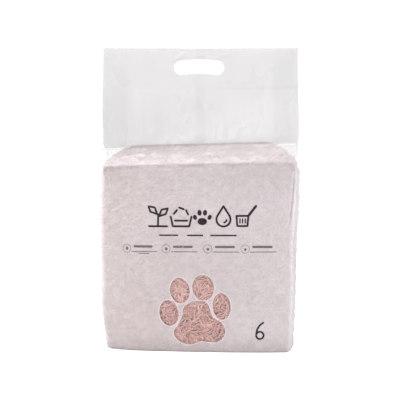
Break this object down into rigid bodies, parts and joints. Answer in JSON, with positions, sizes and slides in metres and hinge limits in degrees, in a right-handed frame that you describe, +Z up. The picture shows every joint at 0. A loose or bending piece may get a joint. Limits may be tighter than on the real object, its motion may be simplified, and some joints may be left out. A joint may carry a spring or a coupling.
{
  "type": "cat litter bag",
  "caption": "Vacuum-packed block of pellet cat litter in a milky side-gusset film bag, with a flat header, a die-cut handle slot and a clear window.",
  "frame": {"origin": "on the ground under the middle of the pack, at the centre of its underside", "axes": "+Z up the pack to its handle header, +X to the right across the front, and the printed front faces -Y"},
  "size_m": [0.244, 0.0943, 0.3733],
  "materials": {
    "film": "milky satin film, clear in the window",
    "litter": "matt pressed plant fibre pellets"
  },
  "bodies": {
    "root": {"bag_film": "film", "litter_block": "litter"}
  },
  "joints": []
}
